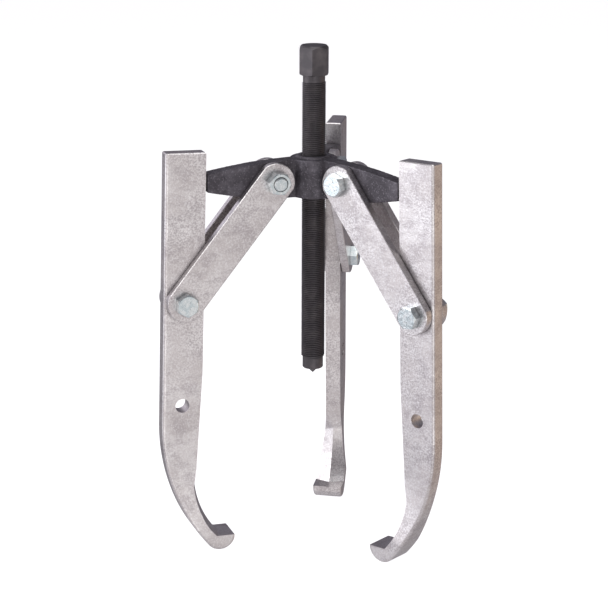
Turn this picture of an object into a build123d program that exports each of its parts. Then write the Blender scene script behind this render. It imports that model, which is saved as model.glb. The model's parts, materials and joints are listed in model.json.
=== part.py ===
"""Three-jaw gear puller: a forcing screw through a three-armed crosshead, and three hooked
jaws, each hung from its arm by a pair of flat links.

Millimetres. +Z is up and lies on the screw's axis. The origin is the lowest point of the
screw, where it presses on the shaft being pulled from.
"""

from build123d import *
from math import cos, radians, sin, sqrt
import os

os.makedirs("parts", exist_ok=True)

# ---- arms of the puller: name and direction about the screw, in degrees from +X
ARMS = {"rear": 90.0, "left": 210.0, "right": 330.0}

# ---- forcing screw, 7/8 in. diameter
SCREW_RADIUS = 22.225 / 2
NECK_RADIUS = 10.25
NECK_LENGTH = 6.3
NECK_SHOULDER = 0.5
THREAD_BOTTOM = 16.2
THREAD_CHAMFER = 1.2
HEAD_BOTTOM = 286.7
HEAD_HEIGHT = 27.4
HEAD_FLATS = 25.4
HEAD_TURN = -86.0

# ---- swivelling centre point under the screw, on a spigot turned on the screw's end
POINT_RADIUS = 9.8
POINT_TOP = 16.0
POINT_FACE = 5.2
POINT_EDGE = 1.5
NIB_RADIUS = 5.4
NIB_TIP_RADIUS = 0.5
SPIGOT_RADIUS = 4.0
SPIGOT_LENGTH = 7.0
SPIGOT_GAP = 0.2

# ---- crosshead
HUB_RADIUS = 22.0
HUB_BOTTOM = 174.2
HUB_TOP = 210.4
BOSS_RADIUS = 16.5
BOSS_TOP = 212.6
BOSS_TAPER = 20.0
ARM_THICKNESS = 15.0
ARM_REACH = 105.3
ARM_FLAT = 27.0
UNDERSIDE_MIDDLE = (70.0, 177.8)
ARM_TIP_BOTTOM = 184.6
ARM_TIP_TOP = 201.4
TOPSIDE_MIDDLE = (60.0, 208.0)
TOPSIDE_START = 20.0
ARM_EDGE = 1.2
VALLEY_RADIUS = 2.0

# ---- pivots: the upper bolt of an arm, and the link that hangs from it
PIVOT_RADIUS = 41.0
PIVOT_HEIGHT = 191.9
LINK_LENGTH = 139.7
LINK_SLOPE = 51.0
LINK_WIDTH = 34.9
LINK_THICKNESS = 8.0
LINK_END = 17.0
LINK_END_RADIUS = 18.3
LINK_EDGE = 0.6

# ---- fits
RUNNING = 0.08
SIDE_GAP = 0.1

# ---- chamfers of the hexagons: how far each cuts into the flats, and how steeply it falls
BOLT_CHAMFER = (0.3, 0.577)
DRIVE_CHAMFER = (0.9, 1.15)

# ---- 1/2 in. bolts and nuts
BOLT_RADIUS = 12.7 / 2
BOLT_FLATS = 19.05
BOLT_HEAD = 7.9
NUT_HEIGHT = 11.1
BOLT_STICKOUT = 1.8
BOLT_END_CHAMFER = 1.0

# ---- jaw, in its own frame: a outward and h up from the lower bolt
JAW_LEAN = 1.7
JAW_THICKNESS = 15.0
JAW_HALF_WIDTH = 38.1 / 2
JAW_TOP = 139.4
BACK_ARC_START = -120.0
BACK_ARC_RADIUS = 184.4
BACK_ARC_ANGLE = 41.5
TAPER_START = -70.0
WAIST = (-14.6, -167.0)
GRIP_HEIGHT = -232.5
GRIP_ROOT = -39.2
NOSE = -52.0
NOSE_DEPTH = 5.5
SPARE_HOLE = -100.8
SPARE_HOLE_RADIUS = 6.75
HOOK_THICKNESS = 29.0
FLARE_END = (-19.5, -224.0)
FLARE_LENGTH = 36.0
FLARE_TILT = 30.0
FLARE_BLEND = 300.0
RIDGE_SLOPE = 0.36
RIDGE_START = 0.22
RIDGE_RUN_OUT = (-3.6, 30.0)
BACK_EDGE = 2.6
TOP_EDGE = 0.9

# ---- values that follow
LINK_FACE = JAW_THICKNESS / 2 + SIDE_GAP
GRIP_HALF = LINK_FACE + LINK_THICKNESS
WAIST_TANGENT = (WAIST[0] + JAW_HALF_WIDTH, WAIST[1] - TAPER_START)

# ---- which side of its arm each piece is on, seen outward from the screw: +1 right, -1 left
SIDES = {1: "a", -1: "b"}
NUT_SIDES = {
    ("left", "upper"): -1,
    ("left", "lower"): 1,
    ("right", "upper"): -1,
    ("right", "lower"): -1,
    ("rear", "upper"): -1,
    ("rear", "lower"): -1,
}

# ---- how far each bolt's hexagon and each nut's hexagon happens to be turned, in degrees
HEX_TURNS = {
    ("left", "upper"): (5, 1),
    ("left", "lower"): (39, 21),
    ("right", "upper"): (34, 8),
    ("right", "lower"): (59, 39),
    ("rear", "upper"): (9, 33),
    ("rear", "lower"): (41, 22),
}

FAR = 400.0  # longer than any piece, for cutting tools
NEAR = 0.2  # an edge this close to a face or an arc counts as on it


def across_corners(flats):
    """Half the distance across the corners of a hexagon."""
    return flats / 2 / cos(radians(30))


def from_axis(edge):
    """How far the middle of an edge is from the screw's axis."""
    middle = edge.center()
    return sqrt(middle.X**2 + middle.Y**2)


def arm_plane(azimuth):
    """The upright mid-plane of an arm: x outward from the screw, y up."""
    outward = (cos(radians(azimuth)), sin(radians(azimuth)), 0)
    return Plane(
        origin=(0, 0, 0),
        x_dir=outward,
        z_dir=(outward[1], -outward[0], 0),
    )


def turned(plane, x, y, angle):
    """A plane with its origin at x, y of another plane and turned in it by an angle."""
    x_dir = plane.x_dir * cos(radians(angle)) + plane.y_dir * sin(radians(angle))
    return Plane(
        origin=plane.from_local_coords((x, y, 0)), x_dir=x_dir, z_dir=plane.z_dir
    )


def sideways(plane, side):
    """A plane square to a pivot: it looks along the pivot towards side +1 or -1."""
    return Plane(origin=plane.origin, x_dir=plane.x_dir, z_dir=plane.z_dir * side)


def turned_off(flats, chamfer):
    """The radius at the face of a hexagon's chamfer, and its drop from there to the corners."""
    margin, slope = chamfer
    radius = flats / 2 - margin
    return radius, (across_corners(flats) - radius) * slope


def hexagon(plane, flats, height, turn, top=BOLT_CHAMFER, foot=None):
    """A hexagonal prism on a plane, its corners turned off at the far end and perhaps at its foot."""
    corner = across_corners(flats)
    radius, drop = turned_off(flats, top)
    outline = [(corner, height - drop), (radius, height), (0, height)]
    if foot:
        radius, drop = turned_off(flats, foot)
        outline = [(0, 0), (radius, 0), (corner, drop)] + outline
    else:
        outline = [(0, 0), (corner, 0)] + outline
    with BuildPart() as prism:
        with BuildSketch(plane):
            RegularPolygon(radius=corner, side_count=6, rotation=turn)
        extrude(amount=height)
        with BuildSketch(Plane(plane.origin, x_dir=plane.x_dir, z_dir=-plane.y_dir)):
            Polygon(*outline, align=None)
        revolve(axis=Axis(plane.origin, plane.z_dir), mode=Mode.INTERSECT)
    return prism.part


# ---------------------------------------------------------------- forcing screw
with BuildPart() as forcing_screw:
    with BuildSketch(Plane.XZ):
        with BuildLine():
            Polyline(
                (0, THREAD_BOTTOM - SPIGOT_LENGTH),
                (SPIGOT_RADIUS, THREAD_BOTTOM - SPIGOT_LENGTH),
                (SPIGOT_RADIUS, THREAD_BOTTOM),
                (SCREW_RADIUS - THREAD_CHAMFER, THREAD_BOTTOM),
                (SCREW_RADIUS, THREAD_BOTTOM + THREAD_CHAMFER),
                (SCREW_RADIUS, HEAD_BOTTOM - NECK_LENGTH),
                (NECK_RADIUS, HEAD_BOTTOM - NECK_LENGTH + NECK_SHOULDER),
                (NECK_RADIUS, HEAD_BOTTOM + HEAD_HEIGHT / 2),
                (0, HEAD_BOTTOM + HEAD_HEIGHT / 2),
                close=True,
            )
        make_face()
    revolve(axis=Axis.Z)
    head_plane = Plane.XY.offset(HEAD_BOTTOM)
    add(hexagon(head_plane, HEAD_FLATS, HEAD_HEIGHT, HEAD_TURN, DRIVE_CHAMFER, BOLT_CHAMFER))
forcing_screw.part.label = "forcing_screw"
export_step(forcing_screw.part, "parts/forcing_screw.step")

# ---------------------------------------------------------------- centre point
with BuildPart() as centre_point:
    with BuildSketch(Plane.XZ):
        with BuildLine():
            Polyline(
                (0, 0),
                (NIB_TIP_RADIUS, 0),
                (NIB_RADIUS, POINT_FACE),
                (POINT_RADIUS - POINT_EDGE, POINT_FACE),
            )
            RadiusArc(
                (POINT_RADIUS - POINT_EDGE, POINT_FACE),
                (POINT_RADIUS, POINT_FACE + POINT_EDGE),
                -POINT_EDGE,
            )
            Polyline(
                (POINT_RADIUS, POINT_FACE + POINT_EDGE),
                (POINT_RADIUS, POINT_TOP),
                (SPIGOT_RADIUS + RUNNING, POINT_TOP),
                (SPIGOT_RADIUS + RUNNING, THREAD_BOTTOM - SPIGOT_LENGTH - SPIGOT_GAP),
                (0, THREAD_BOTTOM - SPIGOT_LENGTH - SPIGOT_GAP),
                (0, 0),
            )
        make_face()
    revolve(axis=Axis.Z)
centre_point.part.label = "centre_point"
export_step(centre_point.part, "parts/centre_point.step")

# ---------------------------------------------------------------- crosshead
with BuildPart() as crosshead:
    for azimuth in ARMS.values():
        with BuildSketch(arm_plane(azimuth)):
            with BuildLine():
                Line((0, HUB_BOTTOM), (ARM_FLAT, HUB_BOTTOM))
                ThreePointArc((ARM_FLAT, HUB_BOTTOM), UNDERSIDE_MIDDLE, (ARM_REACH, ARM_TIP_BOTTOM))
                Line((ARM_REACH, ARM_TIP_BOTTOM), (ARM_REACH, ARM_TIP_TOP))
                ThreePointArc((ARM_REACH, ARM_TIP_TOP), TOPSIDE_MIDDLE, (TOPSIDE_START, HUB_TOP))
                Polyline((TOPSIDE_START, HUB_TOP), (0, HUB_TOP), (0, HUB_BOTTOM))
            make_face()
        extrude(amount=ARM_THICKNESS / 2, both=True)
    with BuildSketch(Plane.XY.offset(HUB_BOTTOM)):
        Circle(HUB_RADIUS)
    extrude(amount=HUB_TOP - HUB_BOTTOM)
    upright = crosshead.edges().filter_by(Axis.Z)
    fillet([e for e in upright if from_axis(e) < HUB_RADIUS + NEAR], radius=VALLEY_RADIUS)
    fillet([e for e in upright if from_axis(e) > ARM_REACH], radius=ARM_EDGE)
    with BuildSketch(Plane.XY.offset(HUB_TOP)):
        Circle(BOSS_RADIUS)
    extrude(amount=BOSS_TOP - HUB_TOP, taper=BOSS_TAPER)
    with BuildSketch(Plane.XY.offset(HUB_BOTTOM)):
        Circle(SCREW_RADIUS + RUNNING)
    extrude(amount=BOSS_TOP - HUB_BOTTOM, mode=Mode.SUBTRACT)
    for azimuth in ARMS.values():
        with BuildSketch(turned(arm_plane(azimuth), PIVOT_RADIUS, PIVOT_HEIGHT, 0)):
            Circle(BOLT_RADIUS + RUNNING)
        extrude(amount=ARM_THICKNESS, both=True, mode=Mode.SUBTRACT)
crosshead.part.label = "crosshead"
export_step(crosshead.part, "parts/crosshead.step")


def link_profile():
    """A link about its upper hole: straight edges, and end arcs that meet them at a corner."""
    half = LINK_WIDTH / 2
    corner = LINK_END - LINK_END_RADIUS + sqrt(LINK_END_RADIUS**2 - half**2)
    with BuildSketch() as profile:
        with BuildLine():
            ThreePointArc((-corner, half), (-LINK_END, 0), (-corner, -half))
            Line((-corner, -half), (LINK_LENGTH + corner, -half))
            ThreePointArc(
                (LINK_LENGTH + corner, -half),
                (LINK_LENGTH + LINK_END, 0),
                (LINK_LENGTH + corner, half),
            )
            Line((LINK_LENGTH + corner, half), (-corner, half))
        make_face()
        with Locations((0, 0), (LINK_LENGTH, 0)):
            Circle(BOLT_RADIUS + RUNNING, mode=Mode.SUBTRACT)
    return profile.sketch


def jaw_profile():
    """A jaw's side view about its lower bolt: a straight bar that curves in to a hook."""
    turn = radians(BACK_ARC_ANGLE)
    back_end = (
        JAW_HALF_WIDTH - BACK_ARC_RADIUS * (1 - cos(turn)),
        BACK_ARC_START - BACK_ARC_RADIUS * sin(turn),
    )
    nose_foot = (NOSE, GRIP_HEIGHT - NOSE_DEPTH)
    with BuildSketch() as profile:
        with BuildLine():
            Polyline(
                WAIST,
                (-JAW_HALF_WIDTH, TAPER_START),
                (-JAW_HALF_WIDTH, JAW_TOP),
                (JAW_HALF_WIDTH, JAW_TOP),
                (JAW_HALF_WIDTH, BACK_ARC_START),
            )
            TangentArc((JAW_HALF_WIDTH, BACK_ARC_START), back_end, tangent=(0, -1))
            TangentArc(back_end, nose_foot, tangent=(-sin(turn), -cos(turn)))
            Polyline(nose_foot, (NOSE, GRIP_HEIGHT), (GRIP_ROOT, GRIP_HEIGHT))
            TangentArc(WAIST, (GRIP_ROOT, GRIP_HEIGHT), tangent=WAIST_TANGENT)
        make_face()
        Circle(BOLT_RADIUS + RUNNING, mode=Mode.SUBTRACT)
        with Locations((0, SPARE_HOLE)):
            Circle(SPARE_HOLE_RADIUS, mode=Mode.SUBTRACT)
    return profile.sketch


def thickness_profile():
    """A jaw seen along its width where it flares to a sharp break: x across, y up along the bar."""
    thin = JAW_THICKNESS / 2
    thick = HOOK_THICKNESS / 2
    with BuildSketch() as profile:
        Polygon(
            (thick, -FAR / 4),
            (thick, 0),
            (thin, FLARE_LENGTH),
            (thin, FAR),
            (-thin, FAR),
            (-thin, FLARE_LENGTH),
            (-thick, 0),
            (-thick, -FAR / 4),
            align=None,
        )
        fillet(profile.vertices().group_by(Axis.Y)[2], radius=FLARE_BLEND)
    return profile.sketch


def ridge_profile():
    """The space inside the hook, which a sheared cut takes away to leave a ridge."""
    inner = NOSE - JAW_HALF_WIDTH
    with BuildSketch() as profile:
        with BuildLine(mode=Mode.PRIVATE):
            throat = TangentArc(WAIST, (GRIP_ROOT, GRIP_HEIGHT), tangent=WAIST_TANGENT)
        start = throat @ RIDGE_START
        above = start + Vector(*RIDGE_RUN_OUT)
        with BuildLine():
            ThreePointArc(start, throat @ ((RIDGE_START + 1) / 2), throat @ 1)
            Polyline(throat @ 1, (inner, GRIP_HEIGHT), (inner, above.Y), above, start)
        make_face()
    return profile.sketch


def on_back(jaw_plane, edge):
    """Whether an edge runs along the back of a jaw, down its bar or round its back arc."""
    middle = jaw_plane.to_local_coords(edge.center())
    if edge.length > HOOK_THICKNESS and middle.Y > BACK_ARC_START:
        return middle.X > JAW_HALF_WIDTH - NEAR
    from_centre = Vector(middle.X - JAW_HALF_WIDTH + BACK_ARC_RADIUS, middle.Y - BACK_ARC_START)
    on_arc = abs(from_centre.length - BACK_ARC_RADIUS) < NEAR
    return on_arc and middle.Y < BACK_ARC_START and abs(middle.Z) > JAW_THICKNESS / 4


def on_top(jaw_plane, edge):
    """Whether an edge runs round the top of a jaw."""
    return jaw_plane.to_local_coords(edge.center()).Y > JAW_TOP - NEAR


for name, azimuth in ARMS.items():
    mid_plane = arm_plane(azimuth)
    link_plane = turned(mid_plane, PIVOT_RADIUS, PIVOT_HEIGHT, -LINK_SLOPE)
    lower_plane = turned(link_plane, LINK_LENGTH, 0, 0)
    jaw_plane = turned(lower_plane, 0, 0, LINK_SLOPE + JAW_LEAN)

    # ------------------------------------------------------------ links
    for side, letter in SIDES.items():
        with BuildPart() as link:
            with BuildSketch(link_plane.offset(side * LINK_FACE)):
                add(link_profile())
            extrude(amount=side * LINK_THICKNESS)
            outline = [e for e in link.edges() if e.length > LINK_WIDTH and not e.is_closed]
            chamfer(outline, length=LINK_EDGE)
        link.part.label = f"link_{name}_{letter}"
        export_step(link.part, f"parts/link_{name}_{letter}.step")

    # ------------------------------------------------------------ bolts and nuts
    for place, plane in (("upper", link_plane), ("lower", lower_plane)):
        nut_side = NUT_SIDES[name, place]
        head_plane = sideways(plane, -nut_side).offset(GRIP_HALF)
        nut_plane = sideways(plane, nut_side).offset(GRIP_HALF)
        with BuildPart() as bolt:
            add(hexagon(head_plane, BOLT_FLATS, BOLT_HEAD, HEX_TURNS[name, place][0]))
            with BuildSketch(head_plane):
                Circle(BOLT_RADIUS)
            extrude(amount=-(2 * GRIP_HALF + NUT_HEIGHT + BOLT_STICKOUT))
            rims = bolt.edges().filter_by(GeomType.CIRCLE)
            end_rim = rims.sort_by(Axis(plane.origin, head_plane.z_dir))[0]
            chamfer(end_rim, length=BOLT_END_CHAMFER)
        bolt.part.label = f"{place}_bolt_{name}"
        export_step(bolt.part, f"parts/{place}_bolt_{name}.step")
        with BuildPart() as nut:
            add(hexagon(nut_plane, BOLT_FLATS, NUT_HEIGHT, HEX_TURNS[name, place][1]))
            with BuildSketch(nut_plane):
                Circle(BOLT_RADIUS + RUNNING)
            extrude(amount=NUT_HEIGHT, mode=Mode.SUBTRACT)
        nut.part.label = f"{place}_nut_{name}"
        export_step(nut.part, f"parts/{place}_nut_{name}.step")

    # ------------------------------------------------------------ jaw
    across = jaw_plane.z_dir
    flare_plane = turned(jaw_plane, *FLARE_END, -FLARE_TILT)
    with BuildPart() as jaw:
        with BuildSketch(jaw_plane):
            add(jaw_profile())
        extrude(amount=HOOK_THICKNESS / 2, both=True)
        with BuildSketch(Plane(flare_plane.origin, x_dir=across, z_dir=-flare_plane.x_dir)):
            add(thickness_profile())
        extrude(amount=FAR, both=True, mode=Mode.INTERSECT)
        for side in SIDES:
            shear = across * side + jaw_plane.x_dir * RIDGE_SLOPE
            with BuildSketch(jaw_plane):
                add(ridge_profile())
            extrude(amount=HOOK_THICKNESS, dir=shear, mode=Mode.SUBTRACT)
        fillet([e for e in jaw.edges() if on_back(jaw_plane, e)], radius=BACK_EDGE)
        chamfer([e for e in jaw.edges() if on_top(jaw_plane, e)], length=TOP_EDGE)
    jaw.part.label = f"jaw_{name}"
    export_step(jaw.part, f"parts/jaw_{name}.step")
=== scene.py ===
"""Looks of a three-jaw gear puller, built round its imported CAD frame. Metres, +Z up the screw."""

import json
import math

import bmesh
import bpy
from mathutils import Matrix, Quaternion, Vector, noise


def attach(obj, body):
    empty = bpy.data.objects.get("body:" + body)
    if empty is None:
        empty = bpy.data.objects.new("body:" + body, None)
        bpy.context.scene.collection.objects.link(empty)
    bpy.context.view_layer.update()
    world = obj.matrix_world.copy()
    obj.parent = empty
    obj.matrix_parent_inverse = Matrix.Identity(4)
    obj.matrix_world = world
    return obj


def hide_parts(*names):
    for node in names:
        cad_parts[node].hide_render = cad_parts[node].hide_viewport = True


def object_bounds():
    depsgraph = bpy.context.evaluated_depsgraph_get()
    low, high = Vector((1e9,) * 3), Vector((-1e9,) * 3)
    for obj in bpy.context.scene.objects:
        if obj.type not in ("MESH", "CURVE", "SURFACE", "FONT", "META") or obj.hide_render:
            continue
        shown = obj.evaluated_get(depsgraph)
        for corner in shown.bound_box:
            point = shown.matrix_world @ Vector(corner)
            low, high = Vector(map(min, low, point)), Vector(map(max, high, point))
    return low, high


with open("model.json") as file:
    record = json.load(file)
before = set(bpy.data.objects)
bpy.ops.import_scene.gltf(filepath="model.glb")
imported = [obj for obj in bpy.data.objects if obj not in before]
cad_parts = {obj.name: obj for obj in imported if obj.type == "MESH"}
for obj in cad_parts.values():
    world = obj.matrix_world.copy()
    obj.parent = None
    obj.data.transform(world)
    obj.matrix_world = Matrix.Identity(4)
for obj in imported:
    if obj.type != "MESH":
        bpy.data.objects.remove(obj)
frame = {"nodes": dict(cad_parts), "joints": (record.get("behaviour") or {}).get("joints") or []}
cad_low, cad_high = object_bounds()
nodes = frame["nodes"]
joints = {joint["name"]: joint for joint in frame["joints"]}

ARMS = ("rear", "left", "right")
UP = Vector((0, 0, 1))

# ---- forcing screw, 7/8 in. - 14
SCREW_RADIUS = 0.0111125
SCREW_PITCH = 0.0254 / 14
SCREW_CHAMFER = 0.0012
NECK_RADIUS = 0.01025
NECK_LENGTH = 0.0063
HEAD_HEIGHT = 0.0274
SPIGOT_RADIUS = 0.004
SPIGOT_LENGTH = 0.007

# ---- 1/2 in. - 13 bolts and nuts
BOLT_RADIUS = 0.00635
BOLT_PITCH = 0.0254 / 13
BOLT_HEAD = 0.0079
BOLT_END_CHAMFER = 0.001
BOLT_THREAD = 0.020
NUT_BORE = 0.00643
NUT_COUNTERSINK = 0.0006

# ---- the lines on a bolt's head: how many, their two ends' radii, and a turn as part of their spacing
GRADE_LINES = 3
GRADE_LINE = (0.0030, 0.0062)
GRADE_LINE_TURN = 0.25
GRADE_LINE_WIDTH = 0.0009
GRADE_LINE_TAPER = 0.6
GRADE_LINE_HEIGHT = 0.0003

# ---- how hexagons are turned off: margin inside the flats, and slope of the cut
PLAIN_CHAMFER = (0.0003, 0.577)
DRIVE_CHAMFER = (0.0009, 1.15)

# ---- camera
AZIMUTH = 10.31
ELEVATION = 15.94
ROLL = 0.26
DISTANCE = 1.7985
AIM = Vector((0, 0, 0.0735))
LENS = 112.28
SENSOR = 36.0
SHIFT = (-0.01485, -0.00984)
CLIP_START = 0.05
CLIP_END = 50.0


# ---------------------------------------------------------------- camera, floor and light
def viewer_direction(azimuth, elevation):
    """The direction from the object towards a viewer at these angles, in degrees."""
    a, e = math.radians(azimuth), math.radians(elevation)
    return Vector((math.sin(a) * math.cos(e), -math.cos(a) * math.cos(e), math.sin(e)))


def make_camera():
    data = bpy.data.cameras.new("camera")
    data.lens = LENS
    data.sensor_width = SENSOR
    data.shift_x, data.shift_y = SHIFT
    data.clip_start = CLIP_START
    data.clip_end = CLIP_END
    camera = bpy.data.objects.new("camera", data)
    back = viewer_direction(AZIMUTH, ELEVATION)
    camera.location = AIM + back * DISTANCE
    camera.rotation_mode = "QUATERNION"
    roll = Quaternion((0, 0, 1), math.radians(ROLL))
    camera.rotation_quaternion = (-back).to_track_quat("-Z", "Y") @ roll
    bpy.context.scene.collection.objects.link(camera)
    bpy.context.scene.camera = camera


def softbox(name, azimuth, elevation, size, power, colour):
    """A square area light that looks at the object."""
    data = bpy.data.lights.new(name, "AREA")
    data.shape = "RECTANGLE"
    data.size, data.size_y = size, size
    data.energy = power
    data.color = colour
    light = bpy.data.objects.new(name, data)
    back = viewer_direction(azimuth, elevation)
    light.location = AIM + back * SOFTBOX_DISTANCE
    light.rotation_mode = "QUATERNION"
    light.rotation_quaternion = (-back).to_track_quat("-Z", "Y")
    bpy.context.scene.collection.objects.link(light)


FLOOR_DROP = 0.012
FLOOR_SIZE = 12.0
FLOOR_GLOW = 0.72
PAPER = (0.9, 0.9, 0.9, 1)
WHITE = (1, 1, 1, 1)
SOFTBOX_DISTANCE = 1.8

# ---- what surrounds the object: an even light, then glows, each with its direction, how narrow it
# ---- is and its colour. The glow with a colour below zero takes light away.
AMBIENT = (0.19, 0.182, 0.20)
GLOWS = (
    ((0.763, -0.647, -0.25), 5.0, (0.42, 0.40, 0.39)),
    ((-0.18, -0.95, -0.20), 9.0, (0.58, 0.55, 0.54)),
    ((0.40, -0.90, -0.20), 60.0, (1.90, 1.90, 1.90)),
    ((0.93, 0.33, -0.20), 8.0, (0.36, 0.25, 0.15)),
    ((0.10, 0.95, 0.25), 5.0, (-0.08, -0.08, -0.07)),
    ((-0.74, 0.61, 0.35), 16.0, (0.62, 0.59, 0.67)),
    ((-0.75, -0.25, -0.60), 10.0, (0.36, 0.35, 0.37)),
    ((0.0, 0.0, -1.0), 2.0, (0.40, 0.39, 0.40)),
)

# ---- the brightest glow ends at a sill, and fades out between these heights of direction
WINDOW = ((-0.95, -0.30, 0.08), 7.0, (1.85, 1.85, 1.95))
WINDOW_SILL = (-0.31, -0.17)


def make_floor():
    """White paper that mirrors don't show, so that the metal reflects only the studio."""
    half = FLOOR_SIZE / 2
    height = cad_low.z - FLOOR_DROP
    corners = [(x, y, height) for x, y in ((-half, -half), (half, -half), (half, half), (-half, half))]
    mesh = bpy.data.meshes.new("floor")
    mesh.from_pydata(corners, [], [(0, 1, 2, 3)])
    floor = bpy.data.objects.new("floor", mesh)
    floor.visible_glossy = False
    bpy.context.scene.collection.objects.link(floor)
    paper = bpy.data.materials.new("paper")
    paper.use_nodes = True
    shader = paper.node_tree.nodes["Principled BSDF"]
    shader.inputs["Base Color"].default_value = PAPER
    shader.inputs["Roughness"].default_value = 1.0
    shader.inputs["Specular IOR Level"].default_value = 0.0
    shader.inputs["Emission Color"].default_value = WHITE
    shader.inputs["Emission Strength"].default_value = FLOOR_GLOW
    mesh.materials.append(paper)


def facing(tree, direction, towards, tightness):
    """How strongly a direction faces a glow: 1 at its middle, and less the narrower it is."""
    cosine = tree.nodes.new("ShaderNodeVectorMath")
    cosine.operation = "DOT_PRODUCT"
    tree.links.new(direction, cosine.inputs[0])
    cosine.inputs[1].default_value = Vector(towards).normalized()
    positive = tree.nodes.new("ShaderNodeMath")
    positive.operation = "MAXIMUM"
    tree.links.new(cosine.outputs["Value"], positive.inputs[0])
    positive.inputs[1].default_value = 0.0
    power = tree.nodes.new("ShaderNodeMath")
    power.operation = "POWER"
    tree.links.new(positive.outputs[0], power.inputs[0])
    power.inputs[1].default_value = tightness
    return power.outputs[0]


def above_sill(tree, direction, strength):
    """A glow's strength, faded out below a height, as where a window ends at its sill."""
    height = tree.nodes.new("ShaderNodeSeparateXYZ")
    tree.links.new(direction, height.inputs[0])
    fade = tree.nodes.new("ShaderNodeMapRange")
    fade.interpolation_type = "SMOOTHSTEP"
    tree.links.new(height.outputs["Z"], fade.inputs["Value"])
    fade.inputs["From Min"].default_value, fade.inputs["From Max"].default_value = WINDOW_SILL
    cut = tree.nodes.new("ShaderNodeMath")
    cut.operation = "MULTIPLY"
    tree.links.new(strength, cut.inputs[0])
    tree.links.new(fade.outputs["Result"], cut.inputs[1])
    return cut.outputs[0]


def add_glow(tree, strength, colour, rest):
    """A glow's colour by its strength, added to the rest of the light, or to the even light alone."""
    glow = tree.nodes.new("ShaderNodeVectorMath")
    glow.operation = "MULTIPLY_ADD"
    tree.links.new(strength, glow.inputs[0])
    glow.inputs[1].default_value = colour
    if rest:
        tree.links.new(rest.outputs[0], glow.inputs[2])
    else:
        glow.inputs[2].default_value = AMBIENT
    return glow


def make_surround():
    """A dim studio with soft glows in a few directions, which the camera sees as white."""
    world = bpy.data.worlds.new("studio")
    world.use_nodes = True
    bpy.context.scene.world = world
    tree = world.node_tree
    direction = tree.nodes.new("ShaderNodeTexCoord").outputs["Generated"]
    towards, tightness, colour = WINDOW
    strength = above_sill(tree, direction, facing(tree, direction, towards, tightness))
    light = add_glow(tree, strength, colour, None)
    for towards, tightness, colour in GLOWS:
        light = add_glow(tree, facing(tree, direction, towards, tightness), colour, light)
    surround = tree.nodes["Background"]
    tree.links.new(light.outputs[0], surround.inputs["Color"])
    white = tree.nodes.new("ShaderNodeBackground")
    white.inputs["Color"].default_value = WHITE
    path = tree.nodes.new("ShaderNodeLightPath")
    mix = tree.nodes.new("ShaderNodeMixShader")
    tree.links.new(path.outputs["Is Camera Ray"], mix.inputs["Fac"])
    tree.links.new(surround.outputs[0], mix.inputs[1])
    tree.links.new(white.outputs[0], mix.inputs[2])
    tree.links.new(mix.outputs[0], tree.nodes["World Output"].inputs["Surface"])


def make_studio():
    make_floor()
    make_surround()
    softbox("key", azimuth=-55, elevation=35, size=1.2, power=8, colour=(1.0, 0.995, 1.0))
    softbox("overhead", azimuth=20, elevation=75, size=1.4, power=9, colour=(1.0, 1.0, 1.0))
    bpy.context.scene.view_settings.view_transform = "Standard"


# ---------------------------------------------------------------- materials
# ---- painted shade and dirt in corners: its colour, how thick it gets, and how open a place is where it is full or gone
GRIME_AND_SHADE_COLOUR = (0.05, 0.045, 0.05)
GRIME_AND_SHADE = 0.65
GRIME_AND_SHADE_FULL = 0.25
GRIME_AND_SHADE_GONE = 0.85
GRIME_AND_SHADE_SAMPLES = 8

PLATING_DULL = (0.76, 0.72, 0.71)
PLATING_CLEAN = (0.92, 0.895, 0.885)
PLATING_BLOTCH = (0.50, 0.455, 0.47)
PLATING_STREAK = (0.56, 0.52, 0.525)
PLATING_PIT = (0.42, 0.39, 0.41)
# colour of the painted glint highlights
PLATING_PAINTED_GLINT = (1.0, 0.99, 1.0)
PLATING_GRAIN = 0.0016
ZINC_DULL = (0.72, 0.82, 0.84)
ZINC_BRIGHT = (0.92, 0.98, 0.98)
OXIDE_BLACK = (0.085, 0.078, 0.084)
OXIDE_WORN = (0.150, 0.135, 0.140)
FORGING_BLACK = (0.066, 0.059, 0.070)
FORGING_RUBBED = (0.155, 0.142, 0.165)
FORGING_SPECK = (0.30, 0.28, 0.32)

# ---- which of a mix node's sockets are its two colours, and which is their blend
MIX_COLOURS = (6, 7)
MIX_BLEND = 2


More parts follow.
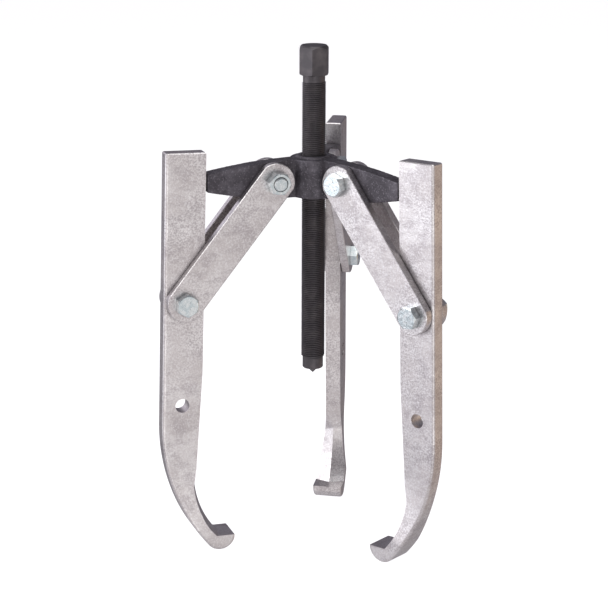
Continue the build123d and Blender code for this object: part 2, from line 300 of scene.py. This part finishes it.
class Nodes:
    """A material's node tree, with short calls for the nodes that the finishes share."""

    def __init__(self, name):
        self.material = bpy.data.materials.new(name)
        self.material.use_nodes = True
        self.tree = self.material.node_tree
        self.shader = self.tree.nodes["Principled BSDF"]
        self.place = self.tree.nodes.new("ShaderNodeTexCoord").outputs["Object"]

    def link(self, output, socket):
        self.tree.links.new(output, socket)

    def noise(self, size, detail=2.0, roughness=0.5, stretch=None):
        """Noise with features of about that size in metres, from 0 to 1."""
        texture = self.tree.nodes.new("ShaderNodeTexNoise")
        texture.inputs["Scale"].default_value = 1 / size
        texture.inputs["Detail"].default_value = detail
        texture.inputs["Roughness"].default_value = roughness
        place = self.place
        if stretch:
            mapping = self.tree.nodes.new("ShaderNodeMapping")
            mapping.inputs["Scale"].default_value = stretch
            self.link(place, mapping.inputs["Vector"])
            place = mapping.outputs["Vector"]
        self.link(place, texture.inputs["Vector"])
        return texture.outputs["Fac"]

    def spread(self, value, low, high, to_low=0.0, to_high=1.0):
        """A value mapped from low..high to to_low..to_high, and held there outside."""
        node = self.tree.nodes.new("ShaderNodeMapRange")
        self.link(value, node.inputs["Value"])
        sockets = ("From Min", "From Max", "To Min", "To Max")
        for socket, number in zip(sockets, (low, high, to_low, to_high)):
            node.inputs[socket].default_value = number
        return node.outputs["Result"]

    def times(self, first, second):
        """The product of two values."""
        node = self.tree.nodes.new("ShaderNodeMath")
        node.operation = "MULTIPLY"
        self.link(first, node.inputs[0])
        self.link(second, node.inputs[1])
        return node.outputs[0]

    def blend(self, factor, first, second):
        """A colour between two colours or colour outputs."""
        node = self.tree.nodes.new("ShaderNodeMix")
        node.data_type = "RGBA"
        self.link(factor, node.inputs["Factor"])
        for index, colour in zip(MIX_COLOURS, (first, second)):
            if isinstance(colour, tuple):
                node.inputs[index].default_value = (*colour, 1)
            else:
                self.link(colour, node.inputs[index])
        return node.outputs[MIX_BLEND]

    def shaded_and_soiled(self, colour, reach):
        """A colour darkened in holes, corners and joints by painted shade and dirt, as far from their
        walls as the reach.
        """
        shade = self.tree.nodes.new("ShaderNodeAmbientOcclusion")
        shade.inputs["Distance"].default_value = reach
        shade.samples = GRIME_AND_SHADE_SAMPLES
        grime_and_shade = self.spread(shade.outputs["AO"], GRIME_AND_SHADE_FULL, GRIME_AND_SHADE_GONE, GRIME_AND_SHADE, 0.0)
        return self.blend(grime_and_shade, colour, GRIME_AND_SHADE_COLOUR)

    def bump(self, height, depth, under=None):
        """A bump of that depth in metres, on top of another bump's normal if there is one."""
        node = self.tree.nodes.new("ShaderNodeBump")
        node.inputs["Distance"].default_value = depth
        self.link(height, node.inputs["Height"])
        if under:
            self.link(under, node.inputs["Normal"])
        return node.outputs["Normal"]

    def finish(self, colour, roughness, normal, metallic):
        self.link(colour, self.shader.inputs["Base Color"])
        self.link(roughness, self.shader.inputs["Roughness"])
        self.link(normal, self.shader.inputs["Normal"])
        self.shader.inputs["Metallic"].default_value = metallic
        return self.material


def plated_steel():
    """Dull plating on flat bar: clouds, darker blotches and streaks, and a grain with pits and painted
    glints that stand in for highlights.
    """
    n = Nodes("plated_steel")
    clouds = n.spread(n.noise(0.030, 3.0), 0.36, 0.64)
    blotches = n.spread(n.noise(0.020, 2.5, 0.55), 0.545, 0.615)
    streaks = n.spread(n.noise(0.022, 3.0, 0.6, stretch=(1, 1, 3.5)), 0.50, 0.66)
    worn = n.spread(n.noise(0.060, 2.0), 0.44, 0.58, 0.25, 1.0)
    grain = n.noise(PLATING_GRAIN, 2.0, 0.6)
    colour = n.blend(clouds, PLATING_DULL, PLATING_CLEAN)
    colour = n.blend(n.spread(blotches, 0, 1, 0, 0.40), colour, PLATING_BLOTCH)
    colour = n.blend(n.spread(streaks, 0, 1, 0, 0.45), colour, PLATING_STREAK)
    pits = n.times(n.spread(grain, 0.36, 0.56, 0.55, 0), worn)
    colour = n.blend(pits, colour, PLATING_PIT)
    # painted glints: near-white specks on the grain in place of highlights
    colour = n.blend(n.spread(grain, 0.50, 0.68, 0, 0.6), colour, PLATING_PAINTED_GLINT)
    # painted shade and dirt darken the plating in holes, corners and joints
    colour = n.shaded_and_soiled(colour, 0.005)
    roughness = n.spread(clouds, 0, 1, 0.38, 0.28)
    normal = n.bump(n.noise(0.008, 3.0), 0.00018)
    normal = n.bump(grain, 0.00012, normal)
    return n.finish(colour, roughness, normal, 1.0)


def zinc():
    """Bright zinc plating with a cold tint and light handling marks."""
    n = Nodes("zinc")
    clouds = n.spread(n.noise(0.004, 3.0), 0.38, 0.62)
    colour = n.blend(clouds, ZINC_DULL, ZINC_BRIGHT)
    # painted shade and dirt darken the zinc in holes, corners and joints
    colour = n.shaded_and_soiled(colour, 0.0025)
    roughness = n.spread(n.noise(0.002, 3.0), 0.3, 0.7, 0.12, 0.28)
    normal = n.bump(n.noise(0.0024, 3.0), 0.00010)
    return n.finish(colour, roughness, normal, 1.0)


def black_oxide():
    """Oiled black oxide on machined steel, worn a little brown."""
    n = Nodes("black_oxide")
    wear = n.spread(n.noise(0.012, 4.0, 0.6), 0.45, 0.75)
    colour = n.blend(wear, OXIDE_BLACK, OXIDE_WORN)
    roughness = n.spread(n.noise(0.003, 3.0), 0.3, 0.7, 0.30, 0.46)
    normal = n.bump(n.noise(0.0011, 2.0), 0.00003)
    return n.finish(colour, roughness, normal, 0.6)


def black_casting():
    """Black oxide on a forged skin: coarser than on the screw, with lighter rubbed patches and specks."""
    n = Nodes("black_casting")
    rubbed = n.spread(n.noise(0.02, 4.0, 0.65), 0.45, 0.72)
    colour = n.blend(rubbed, FORGING_BLACK, FORGING_RUBBED)
    specks = n.spread(n.noise(0.0016, 2.0, 0.6), 0.56, 0.70, 0, 0.5)
    colour = n.blend(specks, colour, FORGING_SPECK)
    # painted shade and dirt darken the forging in holes, corners and joints
    colour = n.shaded_and_soiled(colour, 0.008)
    roughness = n.spread(n.noise(0.004, 3.0), 0.3, 0.7, 0.40, 0.56)
    normal = n.bump(n.noise(0.0035, 3.0), 0.00016)
    normal = n.bump(n.noise(0.0009, 2.0), 0.00007, normal)
    return n.finish(colour, roughness, normal, 0.45)


# ---------------------------------------------------------------- mesh helpers
WELD = 1e-6
TINY = 1e-7
SMOOTH_ANGLE = 20.0


def tube(mesh, rings, lead=0):
    """Quads between rings of points. Past a ring's last point, a helix goes on lead rings further."""
    rows = [[mesh.verts.new(point) for point in ring] for ring in rings]
    count = len(rings[0])
    for k in range(len(rows) - 1 - lead):
        for i in range(count):
            wraps = i == count - 1
            j, step = (0, lead) if wraps else (i + 1, 0)
            mesh.faces.new((rows[k][i], rows[k + step][j], rows[k + step + 1][j], rows[k + 1][i]))
    return rows


def cap(mesh, ring, upward):
    """A face that closes a ring."""
    mesh.faces.new(ring if upward else ring[::-1])


def made(mesh, name, place):
    """An object from a bmesh, moved to its place, with doubles welded and its sharp edges kept."""
    bmesh.ops.remove_doubles(mesh, verts=mesh.verts, dist=WELD)
    bmesh.ops.dissolve_degenerate(mesh, edges=mesh.edges, dist=TINY)
    bmesh.ops.recalc_face_normals(mesh, faces=mesh.faces)
    mesh.transform(place)
    data = bpy.data.meshes.new(name)
    mesh.to_mesh(data)
    mesh.free()
    for face in data.polygons:
        face.use_smooth = True
    data.set_sharp_from_angle(angle=math.radians(SMOOTH_ANGLE))
    obj = bpy.data.objects.new(name, data)
    bpy.context.scene.collection.objects.link(obj)
    return obj


def circle(radius, height, count):
    """A ring of points round Z."""
    angles = [2 * math.pi * i / count for i in range(count)]
    return [(radius * math.cos(angle), radius * math.sin(angle), height) for angle in angles]


def hexagon_radius(flats, angle):
    """How far a hexagon's side is from its centre in a direction; its first corner is at angle 0."""
    sixth = math.pi / 3
    return flats / 2 / math.cos(angle % sixth - sixth / 2)


def across_flats(reach):
    """A hexagon's size across its flats, from how far its corners reach."""
    return 2 * reach * math.cos(math.pi / 6)


def hex_rings(flats, low, high, count, foot=None, top=None):
    """Rings up a hexagonal prism whose corners are turned off at one end or at both."""

    def end(height, sign, chamfer):
        margin, slope = chamfer or (0.0, 0.0)
        flat = flats / 2 - margin
        side = []
        for i in range(count):
            angle = 2 * math.pi * i / count
            radius = hexagon_radius(flats, angle)
            drop = (radius - flat) * slope
            side.append((radius * math.cos(angle), radius * math.sin(angle), height + sign * drop))
        return [side] + ([circle(flat, height, count)] if chamfer else [])

    return end(low, 1, foot)[::-1] + end(high, -1, top)


# ---- a thread's form, as parts of its pitch
CREST = 1 / 8
FLANK = 5 / 16
THREAD_DEPTH = 0.6134


def thread_rings(radius, pitch, low, high, low_end, high_end, count):
    """Rings of a thread between two heights. It ends in plain circles, the low one chamfered."""
    root = radius - THREAD_DEPTH * pitch
    profile = ((0.0, radius), (CREST, radius), (CREST + FLANK, root), (1 - FLANK, root))
    turns = math.ceil((high - low) / pitch) + 2
    rings = []
    for turn in range(-1, turns):
        for phase, profile_radius in profile:
            ring = []
            for i in range(count):
                height = low + (turn + phase + i / count) * pitch
                if height <= low:
                    r = low_end
                elif height >= high:
                    r = high_end
                else:
                    r = min(profile_radius, low_end + height - low)
                angle = 2 * math.pi * i / count
                ring.append((r * math.cos(angle), r * math.sin(angle), min(max(height, low), high)))
            rings.append(ring)
    return rings, len(profile)


def along(node, origin, axis):
    """A CAD node's lowest and highest place along an axis, and the direction of its furthest corner."""
    low, high, reach, corner = math.inf, -math.inf, 0.0, None
    for vertex in nodes[node].data.vertices:
        offset = vertex.co - origin
        height = offset.dot(axis)
        low, high = min(low, height), max(high, height)
        outward = offset - axis * height
        if outward.length > reach + TINY:
            reach, corner = outward.length, outward.normalized()
    return low, high, reach, corner


def placed(origin, axis, corner):
    """The matrix that takes a piece built round Z to an axis, its first corner in a direction."""
    matrix = Matrix((corner, axis.cross(corner), axis)).transposed().to_4x4()
    matrix.translation = origin
    return matrix


# ---------------------------------------------------------------- pieces
THREAD_SIDES = 48


def forcing_screw(finish):
    origin = Vector((0, 0, 0))
    low, high, reach, corner = along("forcing_screw", origin, UP)
    thread_low = low + SPIGOT_LENGTH
    thread_end = SCREW_RADIUS - SCREW_CHAMFER
    head_low = high - HEAD_HEIGHT
    neck_low = head_low - NECK_LENGTH
    mesh = bmesh.new()
    spigot = tube(mesh, [
        circle(SPIGOT_RADIUS, low, THREAD_SIDES),
        circle(SPIGOT_RADIUS, thread_low, THREAD_SIDES),
        circle(thread_end, thread_low, THREAD_SIDES),
    ])
    cap(mesh, spigot[0], upward=False)
    rings, lead = thread_rings(
        SCREW_RADIUS, SCREW_PITCH, thread_low, neck_low, thread_end, NECK_RADIUS, THREAD_SIDES
    )
    tube(mesh, rings, lead)
    rings = [circle(NECK_RADIUS, neck_low, THREAD_SIDES), circle(NECK_RADIUS, head_low, THREAD_SIDES)]
    rings += hex_rings(
        across_flats(reach), head_low, high, THREAD_SIDES, foot=PLAIN_CHAMFER, top=DRIVE_CHAMFER
    )
    head = tube(mesh, rings)
    cap(mesh, head[-1], upward=True)
    piece = made(mesh, "threaded_forcing_screw", placed(origin, UP, corner))
    piece.data.materials.append(finish)
    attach(piece, "forcing_screw")
    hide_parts("forcing_screw")


NUT_SIDES = 36


def grade_lines(mesh, height):
    """Plain raised strength marks that radiate on a bolt's head, each a low ridge let into its face."""
    inner, outer = GRADE_LINE
    root = (height + GRADE_LINE_HEIGHT, GRADE_LINE_WIDTH)
    ridge = (height - GRADE_LINE_HEIGHT, GRADE_LINE_WIDTH * GRADE_LINE_TAPER)
    for k in range(GRADE_LINES):
        turn = Matrix.Rotation(2 * math.pi * (k + GRADE_LINE_TURN) / GRADE_LINES, 4, "Z")
        rings = []
        for level, width in (root, ridge):
            corners = ((inner, -width / 2), (outer, -width / 2), (outer, width / 2), (inner, width / 2))
            rings.append([turn @ Vector((x, y, level)) for x, y in corners])
        rows = tube(mesh, rings)
        cap(mesh, rows[0], upward=True)
        cap(mesh, rows[1], upward=False)


def bolt_and_nut(arm, place, finish):
    """A hex bolt with a threaded end, and its nut, where their CAD nodes are."""
    joint = joints[f"link_swing_{arm}" if place == "upper" else f"jaw_pivot_{arm}"]
    origin = Vector(joint["pos_m"])
    axis = Vector(joint["axis"]).normalized()
    _, nut_high, _, _ = along(f"{place}_nut_{arm}", origin, axis)
    if nut_high < 0:
        axis = -axis
    nut_low, nut_high, nut_reach, nut_corner = along(f"{place}_nut_{arm}", origin, axis)
    low, high, reach, corner = along(f"{place}_bolt_{arm}", origin, axis)
    head_top = low + BOLT_HEAD
    thread_low = high - BOLT_THREAD

    mesh = bmesh.new()
    rings = hex_rings(across_flats(reach), low, head_top, NUT_SIDES, foot=PLAIN_CHAMFER)
    rings += [circle(BOLT_RADIUS, head_top, NUT_SIDES), circle(BOLT_RADIUS, thread_low, NUT_SIDES)]
    head = tube(mesh, rings)
    cap(mesh, head[0], upward=False)
    grade_lines(mesh, low)
    end = BOLT_RADIUS - BOLT_END_CHAMFER
    rings, lead = thread_rings(BOLT_RADIUS, BOLT_PITCH, -high, -thread_low, end, BOLT_RADIUS, NUT_SIDES)
    rings = [[(x, y, -z) for x, y, z in ring] for ring in rings]
    tube(mesh, rings, lead)
    cap(mesh, [mesh.verts.new(point) for point in circle(end, high, NUT_SIDES)], upward=True)
    bolt = made(mesh, f"{place}_hex_bolt_{arm}", placed(origin, axis, corner))

    mesh = bmesh.new()
    countersink_foot = circle(NUT_BORE, nut_high - NUT_COUNTERSINK, NUT_SIDES)
    rings = [countersink_foot, circle(NUT_BORE, nut_low, NUT_SIDES)]
    rings += hex_rings(across_flats(nut_reach), nut_low, nut_high, NUT_SIDES, top=PLAIN_CHAMFER)
    rings += [circle(NUT_BORE + NUT_COUNTERSINK, nut_high, NUT_SIDES), countersink_foot]
    tube(mesh, rings)
    nut = made(mesh, f"{place}_hex_nut_{arm}", placed(origin, axis, nut_corner))

    for piece, node in ((bolt, f"{place}_bolt_{arm}"), (nut, f"{place}_nut_{arm}")):
        piece.data.materials.append(finish)
        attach(piece, f"links_{arm}")
        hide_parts(node)


# ---- the crosshead's skin: its mesh size, how much it is smoothed, and its lumps
FORGED_VOXEL = 0.0007
FORGED_SMOOTHING = 0.5
FORGED_PASSES = 4
LUMP_SIZE = 0.009
LUMP_DEPTH = 0.0003
LUMP_FRACTAL = (1.0, 2.0, 3)


def forged_crosshead(finish):
    """The crosshead's CAD shape with its edges softened and its skin sunk a little unevenly."""
    piece = bpy.data.objects.new("forged_crosshead", nodes["crosshead"].data.copy())
    bpy.context.scene.collection.objects.link(piece)
    weld = piece.modifiers.new("weld", "WELD")
    weld.merge_threshold = WELD
    remesh = piece.modifiers.new("remesh", "REMESH")
    remesh.mode = "VOXEL"
    remesh.voxel_size = FORGED_VOXEL
    smooth = piece.modifiers.new("smooth", "SMOOTH")
    smooth.factor = FORGED_SMOOTHING
    smooth.iterations = FORGED_PASSES
    graph = bpy.context.evaluated_depsgraph_get()
    result = bpy.data.meshes.new_from_object(piece.evaluated_get(graph), depsgraph=graph)
    piece.modifiers.clear()
    piece.data = result
    result.name = "forged_crosshead"
    sunk = []
    for vertex in result.vertices:
        lump = noise.fractal(vertex.co / LUMP_SIZE, *LUMP_FRACTAL)
        depth = LUMP_DEPTH * min(max(0.5 + lump / 2, 0.0), 1.0)
        sunk.extend(vertex.co - vertex.normal * depth)
    result.vertices.foreach_set("co", sunk)
    for face in result.polygons:
        face.use_smooth = True
    result.materials.clear()
    result.materials.append(finish)
    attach(piece, "crosshead")
    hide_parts("crosshead")


# ---- jaws: the width of an eased edge, then angles in degrees: up to which faces count as one, from
# ---- which an edge is eased, and from which two broad faces, of that area or more, meet at a break
EASED_EDGE = 0.0010
EASED_SEGMENTS = 2
FLAT_ANGLE = 0.3
EASE_ANGLE = 25.0
BREAK_ANGLE = 7.0
BROAD_FACE = 6e-5


def eased_jaw(arm, finish):
    """A jaw's CAD shape with its sharp edges eased and its broad faces shaded flat."""
    mesh = bmesh.new()
    mesh.from_mesh(nodes[f"jaw_{arm}"].data)
    bmesh.ops.remove_doubles(mesh, verts=mesh.verts, dist=WELD)
    bmesh.ops.dissolve_limit(
        mesh, angle_limit=math.radians(FLAT_ANGLE), verts=mesh.verts, edges=mesh.edges
    )
    sharp = [edge for edge in mesh.edges if math.degrees(edge.calc_face_angle(0.0)) > EASE_ANGLE]
    bmesh.ops.bevel(
        mesh, geom=sharp, offset=EASED_EDGE, segments=EASED_SEGMENTS, profile=0.5, affect="EDGES",
        clamp_overlap=True
    )
    for face in mesh.faces:
        face.smooth = True
    for edge in mesh.edges:
        broad = min((face.calc_area() for face in edge.link_faces), default=0.0) > BROAD_FACE
        edge.smooth = not (broad and math.degrees(edge.calc_face_angle(0.0)) > BREAK_ANGLE)
    data = bpy.data.meshes.new(f"eased_jaw_{arm}")
    mesh.to_mesh(data)
    mesh.free()
    data.attributes.remove(data.attributes["custom_normal"])
    piece = bpy.data.objects.new(f"eased_jaw_{arm}", data)
    bpy.context.scene.collection.objects.link(piece)
    flat = piece.modifiers.new("flat", "WEIGHTED_NORMAL")
    flat.keep_sharp = True
    data.materials.append(finish)
    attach(piece, f"jaw_{arm}")
    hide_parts(f"jaw_{arm}")


def refinish(node, finish):
    """A new finish on a CAD node that keeps its shape."""
    obj = nodes[node]
    for material_slot in obj.material_slots:
        material_slot.material = finish


make_camera()
make_studio()
steel = plated_steel()
bright = zinc()
oxide = black_oxide()
casting = black_casting()

forcing_screw(oxide)
refinish("centre_point", oxide)
forged_crosshead(casting)
for arm_name in ARMS:
    eased_jaw(arm_name, steel)
    for letter in "ab":
        refinish(f"link_{arm_name}_{letter}", steel)
    for end_name in ("upper", "lower"):
        bolt_and_nut(arm_name, end_name, bright)
